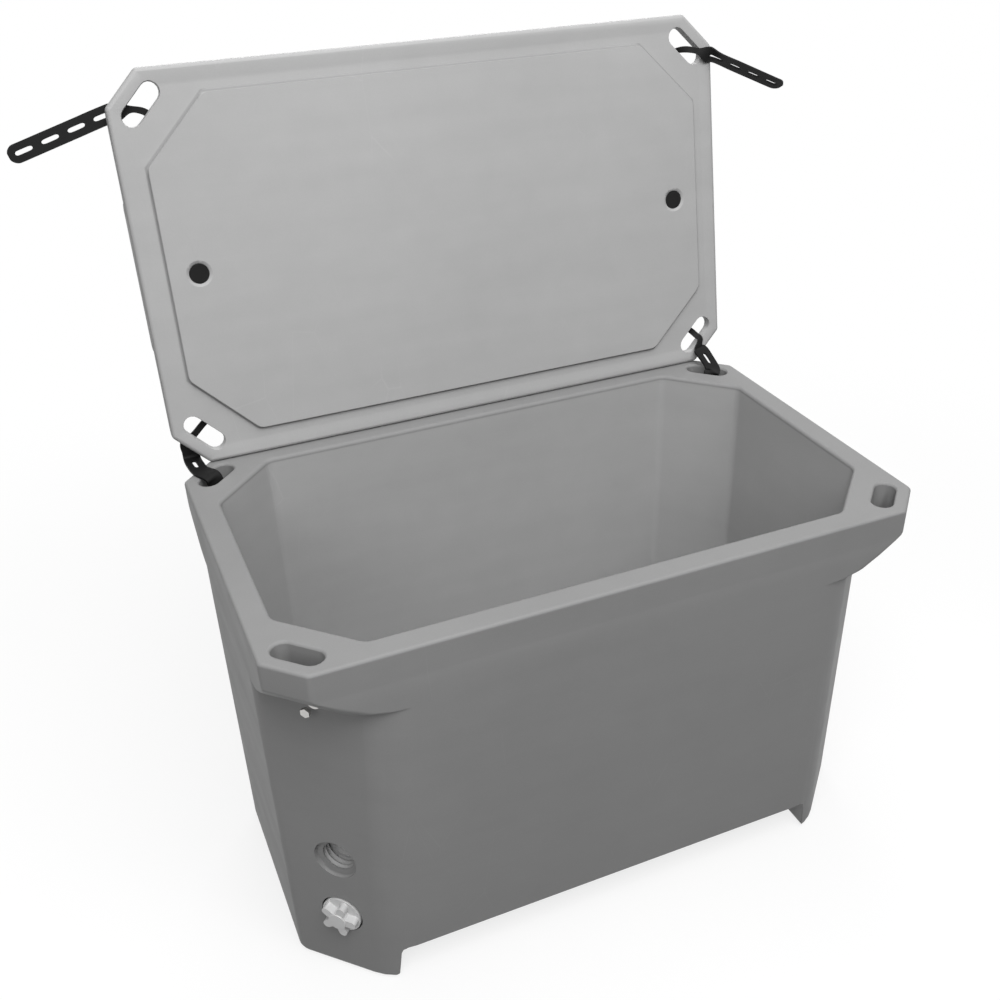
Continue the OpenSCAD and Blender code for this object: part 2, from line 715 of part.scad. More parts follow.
// Where a strap bends over the inner edge of a lid slot
slot_lip = slot_mid - lid_slot_w / 2 + 0.9;
module strap_front_left() {
    strap([
        front_stop(-1, 0, 0, strap_lift, neck_w, 0),
        front_stop(-1, 14, 2, strap_lift, neck_w, 0),
        front_stop(-1, 28, 5, strap_lift, neck_w, 0),
        front_stop(-1, 42, 14, strap_lift, neck_w, 0),
        front_stop(-1, 54, 28, strap_lift, strap_w, 0),
        front_stop(-1, 66, 46, strap_lift + 1, strap_w, 1),
        front_stop(-1, 85, 81, strap_lift + 3, strap_w, 1),
        front_stop(-1, 104, 116, strap_lift + 5, strap_w, 1),
        front_stop(-1, 123, 151, strap_lift + 6, strap_w, 1),
        front_stop(-1, 128, 160, strap_lift + 6, strap_w, 0)
    ]);
}
module strap_front_right() {
    strap([
        front_stop(1, 0, 0, strap_lift, neck_w, 0),
        front_stop(1, 12, -2, strap_lift, neck_w, 0),
        front_stop(1, slot_lip, -3, strap_lift - 1.2, neck_w, 0),
        front_stop(1, slot_mid - 5, 2, under / 2, neck_w, 0),
        front_stop(1, slot_mid + 2, 11, under + 1, neck_w, 0),
        front_stop(1, slot_mid + 9, 24, under - strap_t + 0.5, neck_w, 0),
        front_stop(1, slot_mid + 14, 37, under - strap_t, strap_w, 0),
        front_stop(1, slot_mid + 20, 53, under - strap_t, strap_w, 1),
        front_stop(1, slot_mid + 34, 90, under - strap_t, strap_w, 1),
        front_stop(1, slot_mid + 48, 127, under - strap_t, strap_w, 1),
        front_stop(1, slot_mid + 62, 164, under - strap_t, strap_w, 1),
        front_stop(1, slot_mid + 66, 174, under - strap_t, strap_w, 0)
    ]);
}
// The rear straps run on over the rim, down through the ear slots and under the tub's bolts
ear_mid = ear_reach - ear_slot_in;
slot_run = (hole_l - hole_w) / 2;
function ear_place(sx, out, along, z) = corner_point(sx, 1, ear_mid + out, along, z);
function rear_end(sx) = [
    [ear_place(sx, 2, 10, tub_h + 2.6), [0, 0.3, -1], strap_w, 0],
    [ear_place(sx, -3, 9, tub_h - 7), [sx * 0.15, 0.8, -0.6], strap_w, 0],
    [ear_place(sx, -6, 9, tub_h - 25), [sx * 0.3, 1, -0.1], strap_w, 1],
    [ear_place(sx, -8, 9, tub_h - 50), [sx * 0.6, 1, 0], strap_w, 0],
    [corner_point(sx, 1, strap_reach + 3, bolt_along + 2, bolt_z + slot_run + 23), [sx * 0.9, 1, 0], strap_w, 1],
    [corner_point(sx, 1, strap_reach, bolt_along, bolt_z + slot_run), [sx, 1, 0], strap_w, 1],
    [corner_point(sx, 1, strap_reach, bolt_along, bolt_z - 2), [sx, 1, 0], strap_w, 0]
];
// Distance of the rear straps from the middle of the tub where they cross the rim
rear_x = tub_l / 2 - 25;
front_x = tub_l / 2 - 45;
module strap_rear_left() {
    strap(concat([
        [lid_place(-1, 1, 0, 0, strap_lift), lid_face, neck_w, 0],
        [lid_place(-1, 1, 14, 3, strap_lift), lid_face, neck_w, 0],
        [lid_place(-1, 1, 28, 5, strap_lift), lid_face, neck_w, 0],
        [lid_place(-1, 1, 44, 6, strap_lift), lid_face, neck_w, 0],
        [lid_place(-1, 1, 57, 7, strap_lift), lid_face, neck_w + 2, 0],
        [lid_place(-1, 1, 66, 6, strap_lift + 0.5), lid_face, strap_w, 0],
        [[-rear_x, hinge_y + 19.6, tub_h + 17], [0, 1, -0.1], strap_w, 0],
        [[-rear_x, hinge_y + 17.3, tub_h + 7.5], [0, 0.8, -0.6], strap_w, 0],
        [[-rear_x, hinge_y + 10.5, tub_h + 3.8], [0, 0.2, -1], strap_w, 0],
        [[1 - rear_x, hinge_y - 6, tub_h + 3.6], [0, 0, -1], strap_w, 1],
        [[5 - rear_x, hinge_y - 30, tub_h + 3.4], [0, 0.1, -1], strap_w, 0]],
        rear_end(-1)));
}
module strap_rear_right() {
    strap(concat([
        [lid_place(1, 1, 0, 0, strap_lift), lid_face, neck_w, 0],
        [lid_place(1, 1, 12, 2, strap_lift), lid_face, neck_w, 0],
        [lid_place(1, 1, slot_lip, 3, strap_lift - 1.2), lid_face, neck_w, 0],
        [lid_place(1, 1, slot_mid - 5, 2, under / 2), lid_face, neck_w, 0],
        [lid_place(1, 1, slot_mid + 2, 0, under + 1), lid_face, neck_w, 0],
        [lid_place(1, 1, slot_mid + 11, -1, under - 3.5), lid_face, neck_w, 0],
        [[front_x - 1, hinge_y - 6.5, tub_h + 32], [0, 1, -0.3], neck_w, 0],
        [[front_x, hinge_y - 9, tub_h + 26], [0, 0.9, -0.5], strap_w, 0],
        [[front_x + 3, hinge_y - 30, tub_h + 13.5], [0, 0.5, -0.87], strap_w, 1]],
        rear_end(1)));
}

tub_shell();
tub_foam();
tub_plug_left();
tub_plug_right();
tub_inserts();
tub_washers();
tub_bolt_front_left();
tub_bolt_front_right();
tub_bolt_rear_left();
tub_bolt_rear_right();
bung_gasket();
drain_bung();
lid_shell();
lid_foam();
lid_plug_left();
lid_plug_right();
lid_inserts();
lid_washers();
lid_bolt_front_left();
lid_bolt_front_right();
lid_bolt_rear_left();
lid_bolt_rear_right();
strap_front_left();
strap_front_right();
strap_rear_left();
strap_rear_right();
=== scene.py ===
import math

import bpy
from mathutils import Matrix, Vector

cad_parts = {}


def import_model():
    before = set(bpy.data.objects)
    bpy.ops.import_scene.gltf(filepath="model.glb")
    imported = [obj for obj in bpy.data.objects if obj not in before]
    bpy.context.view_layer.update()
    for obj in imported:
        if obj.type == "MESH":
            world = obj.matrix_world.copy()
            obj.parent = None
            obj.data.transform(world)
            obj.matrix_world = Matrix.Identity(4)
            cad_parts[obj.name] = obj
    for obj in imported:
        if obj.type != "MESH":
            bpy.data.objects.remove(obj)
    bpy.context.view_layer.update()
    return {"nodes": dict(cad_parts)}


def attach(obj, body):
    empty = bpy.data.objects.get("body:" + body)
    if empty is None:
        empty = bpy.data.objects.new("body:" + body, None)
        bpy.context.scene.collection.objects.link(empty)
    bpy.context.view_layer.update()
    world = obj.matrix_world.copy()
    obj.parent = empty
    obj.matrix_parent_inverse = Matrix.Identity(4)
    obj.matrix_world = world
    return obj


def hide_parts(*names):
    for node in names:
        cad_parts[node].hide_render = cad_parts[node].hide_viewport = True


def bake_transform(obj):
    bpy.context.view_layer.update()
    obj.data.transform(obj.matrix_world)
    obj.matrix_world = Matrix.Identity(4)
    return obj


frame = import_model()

MM = 0.001


# Modelling by hand: what is picked is picked in code, by place or by angle
def pick_only(piece):
    bpy.ops.object.select_all(action="DESELECT")
    piece.select_set(True)
    bpy.context.view_layer.objects.active = piece


def pick_edges(piece, wanted):
    """Picks the edges for which wanted(middle, angle) is true, and stays in edit mode."""
    bpy.ops.object.mode_set(mode="EDIT")
    bpy.ops.mesh.select_mode(type="EDGE")
    bpy.ops.mesh.select_all(action="SELECT")
    bpy.ops.mesh.select_all(action="DESELECT")
    bpy.ops.object.mode_set(mode="OBJECT")
    mesh = piece.data
    across = {}
    for face in mesh.polygons:
        for key in face.edge_keys:
            across.setdefault(key, []).append(face.normal)
    count = 0
    for edge in mesh.edges:
        sides = across.get(tuple(sorted(edge.vertices)), [])
        if len(sides) != 2:
            continue
        a, b = (mesh.vertices[v].co for v in edge.vertices)
        if wanted((a + b) / 2, math.degrees(sides[0].angle(sides[1], 0.0))):
            edge.select = True
            count += 1
    bpy.ops.object.mode_set(mode="EDIT")
    return count


def round_edges(piece, width, steps, wanted):
    """Rounds the picked edges of a piece."""
    if pick_edges(piece, wanted):
        bpy.ops.mesh.bevel(offset=width, segments=steps, profile=0.5, affect="EDGES", clamp_overlap=True)
    bpy.ops.object.mode_set(mode="OBJECT")


def pick_faces(piece, wanted):
    """Picks the faces for which wanted(face) is true, and stays in edit mode."""
    pick_only(piece)
    bpy.ops.object.mode_set(mode="EDIT")
    bpy.ops.mesh.select_mode(type="FACE")
    bpy.ops.mesh.select_all(action="DESELECT")
    bpy.ops.object.mode_set(mode="OBJECT")
    for face in piece.data.polygons:
        face.select = wanted(face)
    bpy.ops.object.mode_set(mode="EDIT")


def finish_modifier(piece, name, kind, **settings):
    pick_only(piece)
    added = piece.modifiers.new(name, kind)
    for setting, value in settings.items():
        setattr(added, setting, value)
    bpy.ops.object.modifier_apply(modifier=added.name)


def cast(name, node):
    """A piece with the shape of a CAD node, its loose triangles joined to one skin."""
    piece = bpy.data.objects.new(name, frame["nodes"][node].data.copy())
    bpy.context.scene.collection.objects.link(piece)
    piece.data.materials.clear()
    pick_only(piece)
    bpy.ops.object.mode_set(mode="EDIT")
    bpy.ops.mesh.select_all(action="SELECT")
    bpy.ops.mesh.remove_doubles(threshold=0.01 * MM)
    bpy.ops.mesh.dissolve_limited(angle_limit=math.radians(0.4), use_dissolve_boundaries=False)
    bpy.ops.object.mode_set(mode="OBJECT")
    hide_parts(node)
    return piece


def smooth(piece, angle=34):
    """Smooth shading up to an angle, the large faces kept flat."""
    pick_only(piece)
    bpy.ops.object.shade_smooth_by_angle(angle=math.radians(angle))
    finish_modifier(piece, "flat faces", "WEIGHTED_NORMAL", keep_sharp=True, weight=80)


# Places on the tub and the lid, by the same named values as the part's source, in millimetres
TUB_L, TUB_W, TUB_H = 1000.0, 596.0, 635.0
EAR_CUT, BODY_CUT, BLOCK_CUT = 51.0, 145.0, 180.0
MOUTH_A, MOUTH_B, MOUTH_C = 461.0, 259.0, 440.0
SEAT_Z = TUB_H + 0.5
HINGE_Y, HINGE_Z = TUB_W / 2 - 6, SEAT_Z + 6
OPEN_ANGLE = math.radians(100.6)
LANDING_Z = SEAT_Z + 21
DIAGONAL = math.sqrt(2)
HALF_SHIFT = (TUB_L - TUB_W) / 4
BODY_REACH, EAR_REACH, BLOCK_REACH = (
    (TUB_L / 2 + TUB_W / 2 - cut) / DIAGONAL for cut in (BODY_CUT, EAR_CUT, BLOCK_CUT))
ANCHOR_REACH = BLOCK_REACH + 21
STRAP_T, STRAP_W, NECK_W = 4.0, 27.0, 10.0
SLOT_L, SLOT_W = 26.0, 7.5
LIFT = 0.3 + STRAP_T / 2
SLOT_MID = EAR_REACH - 34.5 - ANCHOR_REACH
SLOT_LIP = SLOT_MID - 14.25 + 0.9
UNDER = -21.0
EAR_MID = EAR_REACH - 36
BOLT_Z, BOLT_ALONG = TUB_H - 106, 6
STRAP_REACH = BODY_REACH + 16.5
SLOT_RUN = (SLOT_L - SLOT_W) / 2
REAR_LEFT_X, REAR_RIGHT_X = -(TUB_L / 2 - 25), TUB_L / 2 - 45
# Bolts: head, shank and thread
HEAD_R, HEAD_H, SHANK_R = 7.5, 5.5, 4.0
PITCH, TURNS = 1.25, 27
WALL_STAND_OFF = 16.5 + STRAP_T / 2 + 0.3
LID_STAND_OFF = 2 * LIFT + 2 + 0.3
# Straps: the eye and its bolt hole, half the width of a slot, the longest step between two rows of faces
EYE_R, HOLE_HALF, SLOT_HALF, ROW_STEP = 12.5, 4.7, 3.1, 7.0
# The lid's raised panel stands 5 mm proud in the photograph and 14 mm in the CAD shell
PANEL_CUT = 9.0
PORT_X, PORT_R = TUB_L / 2 - 87, 22
PANEL_A, PANEL_B, PANEL_C = 459.5, 257.5, 438.3
# Depths of the panel's edge rings under the seat, with the depth and the inset that they get
PANEL_RINGS = ((14.0, 5.0, 2.2), (13.2, 4.7, 1.2), (10.5, 3.9, 0.8))
PANEL_CORNER = 22.0


# Materials: arithmetic on a wire adds the nodes that work it out
class Wire:
    def __init__(self, finish, socket):
        self.finish = finish
        self.socket = socket

    def maths(self, operation, a, b):
        return self.finish.maths(operation, a, b)

    def __add__(self, other):
        return self.maths("ADD", self, other)

    __radd__ = __add__

    def __sub__(self, other):
        return self.maths("SUBTRACT", self, other)

    def __rsub__(self, other):
        return self.maths("SUBTRACT", other, self)

    def __mul__(self, other):
        return self.maths("MULTIPLY", self, other)

    __rmul__ = __mul__

    def __truediv__(self, other):
        return self.maths("DIVIDE", self, other)


class Finish:
    """A material, its nodes added one by one."""

    def __init__(self, name, **even):
        self.material = bpy.data.materials.new(name)
        self.material.use_nodes = True
        self.tree = self.material.node_tree
        self.shader = self.tree.nodes["Principled BSDF"]
        for socket, value in even.items():
            self.shader.inputs[socket.replace("_", " ")].default_value = value
        self.place = self.node("ShaderNodeTexCoord", {}, {}, "Object")

    def node(self, kind, settings, sockets, output=0):
        """Any node: its settings first, then the values or links of its sockets."""
        made = self.tree.nodes.new(kind)
        for name, value in settings.items():
            setattr(made, name, value)
        for key, value in sockets.items():
            socket = made.inputs[key]
            if isinstance(value, Wire):
                self.tree.links.new(value.socket, socket)
            else:
                socket.default_value = value
        return Wire(self, made.outputs[output])

    def stretched(self, x, y, z):
        return self.node("ShaderNodeMapping", {}, {"Vector": self.place, "Scale": (x, y, z)})

    def clouds(self, scale, detail, at=None):
        return self.node("ShaderNodeTexNoise", {},
                         {"Vector": at or self.place, "Scale": scale, "Detail": detail})

    def step(self, value, low, high):
        return self.node("ShaderNodeMapRange", {"interpolation_type": "SMOOTHSTEP"},
                         {"Value": value, "From Min": low, "From Max": high})

    def along(self, axis, place=None):
        return self.node("ShaderNodeSeparateXYZ", {}, {"Vector": place or self.place}, axis)

    def beyond(self, place, half_length, half_width, reach):
        """How far a place lies outside an upright octagon, less than nothing inside it."""
        x, y = (self.maths("ABSOLUTE", self.along(axis, place), 0.0) for axis in (0, 1))
        sides = self.maths("MAXIMUM", x - half_length, y - half_width)
        return self.maths("MAXIMUM", sides, (x + y) / DIAGONAL - reach)

    def maths(self, operation, a, b):
        return self.node("ShaderNodeMath", {"operation": operation}, {0: a, 1: b})

    def grey(self, level, tint=(1, 1, 1)):
        """A colour from a level of grey, with a slight tint."""
        white = self.node("ShaderNodeCombineColor", {}, {0: level, 1: level, 2: level})
        if tint == (1, 1, 1):
            return white
        return self.node("ShaderNodeMix", {"data_type": "RGBA", "blend_type": "MULTIPLY"},
                         {0: 1.0, 6: white, 7: (*tint, 1)}, 2)

    def relief(self, *layers):
        """Bumps one on another: each layer is (pattern, height in metres)."""
        normal = None
        for pattern, rise in layers:
            sockets = {"Height": pattern, "Distance": rise, "Strength": 1.0}
            if normal:
                sockets["Normal"] = normal
            normal = self.node("ShaderNodeBump", {}, sockets)
        return normal

    def feed(self, **links):
        for socket, wire in links.items():
            self.tree.links.new(wire.socket, self.shader.inputs[socket.replace("_", " ")])
        return self.material


def moulded_polyethylene(name, level, painted_light=None, painted_shade=None):
    """Rotomoulded plastic: cloudy grey, a fine orange peel, wiping marks and light scuffs.

    The optional masks, where they are given, paint light and shade into the colour: painted light that lifts
    the tub's inside by up to half, and painted shade that darkens the groove round the lid's panel by up to
    0.3."""
    f = Finish(name, Specular_IOR_Level=0.12)
    cloud = f.clouds(2.4, 3.0)
    mottle = f.clouds(23.0, 4.0)
    grain = f.clouds(620.0, 2.0)
    wipe = f.clouds(3.0, 4.0, f.stretched(1.0, 1.0, 9.0))
    nick = f.node("ShaderNodeTexVoronoi", {"feature": "DISTANCE_TO_EDGE"},
                  {"Vector": f.stretched(5.0, 5.0, 1.7), "Scale": 3.1})
    where = f.step(f.clouds(6.0, 2.0), 0.58, 0.7)
    scuff = (1 - f.step(nick, 0.0, 0.012)) * where
    # Painted light: the mask lightens the colour by up to half where more light falls.
    if painted_light:
        level = level * (1 + painted_light(f) * 0.5)
    # Painted shade: the mask darkens the colour by up to 0.3 where the crease falls in shade.
    if painted_shade:
        level = level * (1 - painted_shade(f) * 0.3)
    shade = level * (1 + (cloud - 0.5) * 0.16 + (mottle - 0.5) * 0.07 + (grain - 0.5) * 0.08
                     + (wipe - 0.5) * 0.09 + scuff * 0.05)
    peel = f.clouds(230.0, 2.0)
    wave = f.clouds(11.0, 1.0)
    normal = f.relief((wave, 0.9 * MM), (peel, 0.05 * MM))
    gloss = 0.50 + (wipe - 0.5) * 0.22 + (mottle - 0.5) * 0.12 + scuff * 0.08
    return f.feed(Base_Color=f.grey(shade), Roughness=gloss, Normal=normal)


def black_rubber(name):
    """Moulded rubber with a dusty bloom."""
    f = Finish(name, Specular_IOR_Level=0.12)
    dust = f.clouds(34.0, 4.0)
    grain = f.clouds(900.0, 2.0)
    level = 0.005 + dust * 0.006 + (grain - 0.5) * 0.003
    return f.feed(Base_Color=f.grey(level), Roughness=0.42 + dust * 0.2,
                  Normal=f.relief((dust, 0.15 * MM), (grain, 0.03 * MM)))


def glossy_cap(name):
    """Black injection-moulded plastic, shiny but a little dusty."""
    f = Finish(name, Specular_IOR_Level=0.15)
    dust = f.clouds(60.0, 3.0)
    return f.feed(Base_Color=f.grey(0.005 + dust * 0.006), Roughness=0.22 + dust * 0.22,
                  Normal=f.relief((f.clouds(400.0, 2.0), 0.02 * MM)))


def pale_fitting(name):
    """Light grey injection-moulded plastic."""
    f = Finish(name, Specular_IOR_Level=0.5)
    cloud = f.clouds(30.0, 3.0)
    grime = f.step(f.clouds(80.0, 4.0), 0.55, 0.75)
    level = 0.60 * (1 + (cloud - 0.5) * 0.12 - grime * 0.06)
    return f.feed(Base_Color=f.grey(level), Roughness=0.34 + grime * 0.2,
                  Normal=f.relief((f.clouds(500.0, 2.0), 0.03 * MM)))


def stainless_steel(name):
    """Turned and rolled stainless steel with fine brushing."""
    f = Finish(name, Metallic=1.0)
    brush = f.clouds(140.0, 5.0, f.stretched(1.0, 6.0, 14.0))
    stain = f.clouds(60.0, 3.0)
    level = 0.50 + (brush - 0.5) * 0.16 - (stain - 0.5) * 0.12
    return f.feed(Base_Color=f.grey(level, (1.0, 0.985, 0.96)), Roughness=0.26 + brush * 0.2,
                  Normal=f.relief((brush, 0.02 * MM)))


def turned_brass(name):
    """Turned brass inserts, dulled by the moulding heat."""
    f = Finish(name, Metallic=1.0)
    brush = f.clouds(160.0, 4.0)
    level = 0.62 + (brush - 0.5) * 0.2
    return f.feed(Base_Color=f.grey(level, (1.0, 0.80, 0.45)), Roughness=0.3 + brush * 0.25,
                  Normal=f.relief((brush, 0.03 * MM)))


def rigid_foam(name):
    """Cream polyurethane foam with open cells where it was cut."""
    f = Finish(name, Specular_IOR_Level=0.2, Roughness=0.95)
    cell = f.node("ShaderNodeTexVoronoi", {}, {"Vector": f.place, "Scale": 700.0})
    cloud = f.clouds(14.0, 3.0)
    level = 0.80 - cell * 0.18 + (cloud - 0.5) * 0.1
    return f.feed(Base_Color=f.grey(level, (1.0, 0.95, 0.80)), Normal=f.relief((cell, 0.4 * MM)))


def painted_light_inside_tub(f):
    """Painted light on the tub's inner skin: a mask below the rim, and within the mouth's octagon grown to
    the middle of the wall.
    """
    half_wall = 18
    out = f.beyond(f.place, (MOUTH_A + half_wall) * MM, (MOUTH_B + half_wall) * MM,
                   (MOUTH_C + 0.6 * half_wall) * MM)
    return (1 - f.step(out, -2 * MM, 0.0)) * (1 - f.step(f.along(2), (TUB_H - 9) * MM, (TUB_H - 5) * MM))


def painted_shade_round_panel(f):
    """Painted shade in a narrow line round the lid's raised panel, found on the lid as it lay shut."""
    back = f.node("ShaderNodeMapping", {"vector_type": "POINT"},
                  {"Vector": f.place, "Location": (0, -HINGE_Y * MM, -HINGE_Z * MM)})
    turned = f.node("ShaderNodeMapping", {"vector_type": "POINT"},
                    {"Vector": back, "Rotation": (OPEN_ANGLE, 0, 0)})
    shut = f.node("ShaderNodeMapping", {"vector_type": "POINT"},
                  {"Vector": turned, "Location": (0, HINGE_Y * MM, HINGE_Z * MM)})
    off = f.maths("ABSOLUTE", f.beyond(shut, PANEL_A * MM, PANEL_B * MM, PANEL_C * MM) - 0.4 * MM, 0.0)
    low = 1 - f.step(f.along(2, shut), (SEAT_Z + 4) * MM, (SEAT_Z + 6) * MM)
    return (1 - f.step(off, 0.6 * MM, 3.4 * MM)) * low


# The tub's inside gets painted light, so it reads lighter than its outer walls.
tub_plastic = moulded_polyethylene("tub plastic", 0.255, painted_light=painted_light_inside_tub)
# The lid gets painted shade in a line round its raised panel.
lid_plastic = moulded_polyethylene("lid plastic", 0.40, painted_shade=painted_shade_round_panel)
rubber = black_rubber("strap rubber")
gasket_rubber = black_rubber("gasket rubber")
cap_plastic = glossy_cap("port cap plastic")
bung_plastic = pale_fitting("bung plastic")
steel = stainless_steel("stainless steel")
brass = turned_brass("turned brass")
foam = rigid_foam("rigid foam")


def finish_with(piece, material):
    piece.data.materials.clear()
    piece.data.materials.append(material)


def corner_point(sx, sy, reach, along, z):
    return Vector((sx * (reach / DIAGONAL + HALF_SHIFT + along / DIAGONAL),
                   sy * (reach / DIAGONAL - HALF_SHIFT - along / DIAGONAL), z))


def tipped(place, angle):
    """A point turned about the line that the lid tips over."""
    y, z = place.y - HINGE_Y, place.z - HINGE_Z
    c, s = math.cos(angle), math.sin(angle)
    return Vector((place.x, HINGE_Y + y * c + z * s, HINGE_Z - y * s + z * c))


def opened(place):
    """Where a point of the shut lid lies when the lid stands open."""
    return tipped(place, OPEN_ANGLE)


def closed(place):
    """The reverse of opened."""
    return tipped(place, -OPEN_ANGLE)


LID_FACE = opened(Vector((0, 0, 1))) - opened(Vector((0, 0, 0)))


# Tub and lid mouldings
BAND_FOOT, EAR_FOOT = TUB_H - 44, TUB_H - 64
# Heights of the rings under an ear in the CAD shell, and where the photographed ear has them
EAR_RINGS = ((EAR_FOOT, BAND_FOOT - 51.5), (EAR_FOOT + 5, BAND_FOOT - 51.2), (EAR_FOOT + 9, BAND_FOOT - 50),
             (EAR_FOOT + 12, BAND_FOOT - 43.5), (EAR_FOOT + 14.2, BAND_FOOT - 25.5),
             (BAND_FOOT - 4, BAND_FOOT - 6), (BAND_FOOT, BAND_FOOT))


def between(pairs, value):
    """The second numbers of the pairs, read off in between by their first."""
    for (a, at_a), (b, at_b) in zip(pairs, pairs[1:]):
        if value <= b:
            return at_a + (at_b - at_a) * (value - a) / (b - a)
    return pairs[-1][1]


def deepen_ears(piece):
    """Draws the undersides of the four ears down to the long slope of the real ones."""
    end_lean, side_lean = 0.015, 0.032
    inner_x, inner_y, inner_sum = 462, 258, 620
    for vertex in piece.data.vertices:
        p = vertex.co / MM
        inside = abs(p.x) < inner_x and abs(p.y) < inner_y and abs(p.x) + abs(p.y) < inner_sum
        if inside or not EAR_FOOT - 0.1 < p.z < BAND_FOOT - 0.1:
            continue
        z = between(EAR_RINGS, max(p.z, EAR_FOOT))
        towards_end = (abs(p.x) - abs(p.y)) / DIAGONAL > HALF_SHIFT * DIAGONAL
        slip = (p.z - z) * (end_lean if towards_end else -side_lean)
        vertex.co = Vector((p.x - math.copysign(slip, p.x), p.y + math.copysign(slip, p.y), z)) * MM
    piece.data.update()


def tub_moulding():
    piece = cast("tub_moulding", "tub_shell")
    deepen_ears(piece)
    runner_top, runner_side = 0.07, 0.268
    round_edges(piece, 2.5 * MM, 3, lambda p, a: a > 30 and p.z < runner_top and abs(p.y) > runner_side)
    smooth(piece)
    finish_with(piece, tub_plastic)
    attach(piece, "tub")


def panel_edge(p, inset):
    """The point of the panel's outline, moved in by inset, beside a point near that outline."""
    a, b, c = PANEL_A - PANEL_CORNER, PANEL_B - PANEL_CORNER, (PANEL_C - PANEL_CORNER) * DIAGONAL
    at = Vector((abs(p.x), abs(p.y)))
    corner = min((Vector((a, c - a)), Vector((c - b, b))), key=lambda q: (q - at).length)
    edge = corner + (at - corner).normalized() * (PANEL_CORNER - inset)
    return math.copysign(edge.x, p.x), math.copysign(edge.y, p.y)


def shallower(p):
    """Where a point of the shut lid lies once its panel stands less proud."""
    depth = SEAT_Z - p.z
    if depth > 3 and math.hypot(abs(p.x) - PORT_X, p.y) < PORT_R:
        return Vector((p.x, p.y, p.z + PANEL_CUT))
    for ring, new_depth, inset in PANEL_RINGS:
        if abs(depth - ring) < 0.2:
            return Vector((*panel_edge(p, inset), SEAT_Z - new_depth))
    if depth > 2.5:
        return Vector((p.x, p.y, p.z + PANEL_CUT * min(1.0, (8 + depth) / 16)))
    return p


def lower_panel(piece):
    for vertex in piece.data.vertices:
        vertex.co = opened(shallower(closed(vertex.co / MM))) * MM
    piece.data.update()


def lid_moulding():
    piece = cast("lid_moulding", "lid_shell")
    lower_panel(piece)
    smooth(piece)
    finish_with(piece, lid_plastic)
    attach(piece, "lid")


def lid_fillings():
    """The foam behind the panel and the two caps in it, moved with the panel."""
    for name, node, material, slot in (("foam_in_lid", "lid_foam", foam, "foam"),
                                       ("cap_left", "lid_plug_left", cap_plastic, "port_plug"),
                                       ("cap_right", "lid_plug_right", cap_plastic, "port_plug")):
        piece = cast(name, node)
        lower_panel(piece)
        if "cap" in name:
            round_edges(piece, 0.4 * MM, 2, lambda p, a: a > 60)
        smooth(piece, 30)
        finish_with(piece, material)
        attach(piece, "lid")


def handle_height(p):
    """Height of a point above the bung's flange, along its axis."""
    return -(p.x + p.y) / DIAGONAL - (BODY_REACH + 2.2) * MM


def bung():
    piece = cast("star_bung", "drain_bung")
    round_edges(piece, 0.9 * MM, 2, lambda p, a: a > 50 and handle_height(p) > 0)
    smooth(piece, 30)
    finish_with(piece, bung_plastic)
    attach(piece, "bung")


# Bolts and washers
def washers():
    for body in ("tub", "lid"):
        piece = cast(f"washers_on_{body}", f"{body}_washers")
        round_edges(piece, 0.35 * MM, 2, lambda p, a: a > 60)
        smooth(piece, 30)
        finish_with(piece, steel)
        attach(piece, body)


def threaded_shank(radius, pitch, turns):
    """A thread that ends at z = 0: one turn's outline, drawn out from a point, then screwed upwards."""
    bpy.ops.object.select_all(action="DESELECT")
    bpy.ops.mesh.primitive_plane_add(size=1, location=(0, 0, 0))
    shank = bpy.context.object
    bpy.ops.object.mode_set(mode="EDIT")
    bpy.ops.mesh.select_all(action="SELECT")
    bpy.ops.mesh.merge(type="CENTER")
    depth = 0.6 * pitch
    bpy.ops.transform.translate(value=(radius - depth, 0, -turns * pitch))
    for across, up in ((0, 0.12), (depth, 0.38), (0, 0.12), (-depth, 0.38)):
        bpy.ops.mesh.extrude_region_move(TRANSFORM_OT_translate={"value": (across, 0, up * pitch)})
    bpy.ops.object.mode_set(mode="OBJECT")
    finish_modifier(shank, "thread", "SCREW", axis="Z", angle=math.tau, screw_offset=pitch, iterations=turns,
                    steps=20, render_steps=20, use_merge_vertices=True, merge_threshold=0.001)
    return shank


def hex_head(radius, height):
    """A hex head that stands on z = 0, its corners chamfered and its top turned."""
    bpy.ops.object.select_all(action="DESELECT")
    bpy.ops.mesh.primitive_cylinder_add(vertices=6, radius=radius, depth=height, location=(0, 0, 0))
    head = bpy.context.object
    bpy.ops.object.mode_set(mode="EDIT")
    bpy.ops.transform.translate(value=(0, 0, height / 2))
    bpy.ops.object.mode_set(mode="OBJECT")
    round_edges(head, 0.35, 2, lambda p, a: a > 20)
    pick_faces(head, lambda f: f.normal.z > 0.99 and f.center.z > height - 0.01)
    bpy.ops.mesh.inset(thickness=0.8, depth=0.3)
    bpy.ops.mesh.inset(thickness=0.7, depth=0.0)
    bpy.ops.mesh.inset(thickness=0.3, depth=-0.15)
    bpy.ops.object.mode_set(mode="OBJECT")
    return head


